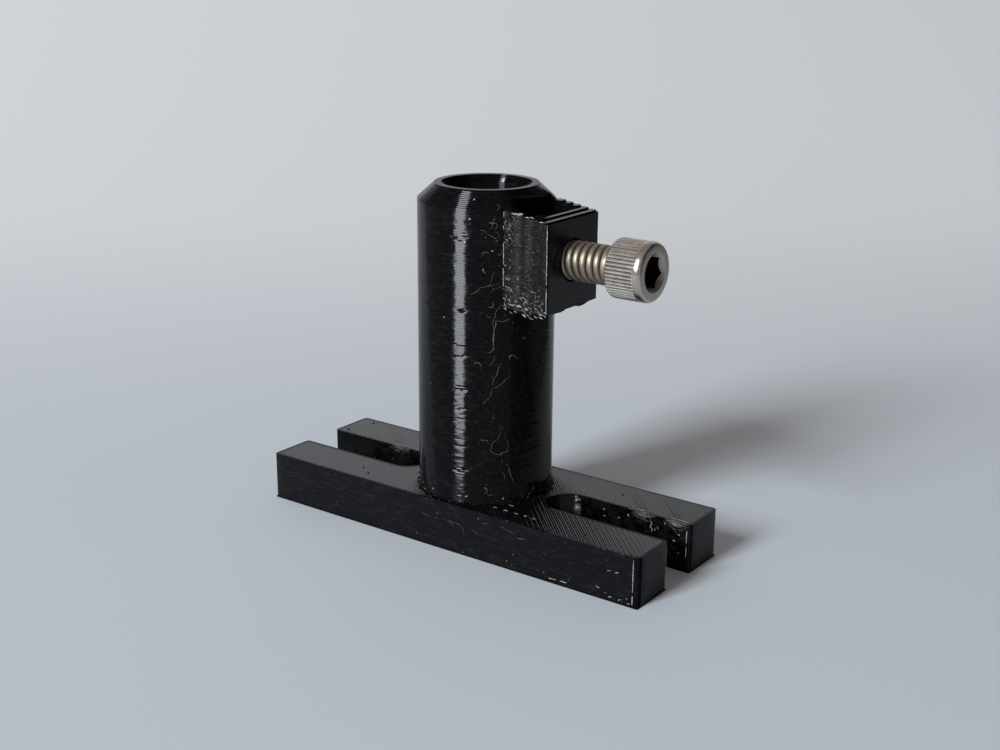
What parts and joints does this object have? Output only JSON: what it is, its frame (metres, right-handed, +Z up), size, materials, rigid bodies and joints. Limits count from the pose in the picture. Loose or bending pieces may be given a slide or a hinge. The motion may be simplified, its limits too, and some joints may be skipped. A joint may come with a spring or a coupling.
{
  "type": "optical post holder",
  "caption": "Printed optical post holder: a slotted base, an upright tube for a half-inch post, and a side clamp block with a captive nut and a cap screw.",
  "frame": {"origin": "on the tube's axis, in the plane of the base's underside, which is also the centre of the base", "axes": "+X along the base towards the clamping screw's head, +Z up the tube's bore, +Y across the base"},
  "size_m": [0.0762, 0.025, 0.06],
  "materials": {
    "printed_plastic": "black PLA printed in 0.25 mm layers, semi-gloss along the walls",
    "nut_steel": "black oxide",
    "screw_steel": "rolled stainless thread, knurled head"
  },
  "bodies": {
    "holder": {"holder_body": "printed_plastic", "clamp_nut": "nut_steel"},
    "screw": {"clamp_screw": "screw_steel"}
  },
  "joints": [
    {"name": "screw_travel", "type": "slide", "parent": "holder", "child": "screw", "axis": [1, 0, 0], "range_m": [-0.0083, 0.0035]}
  ]
}
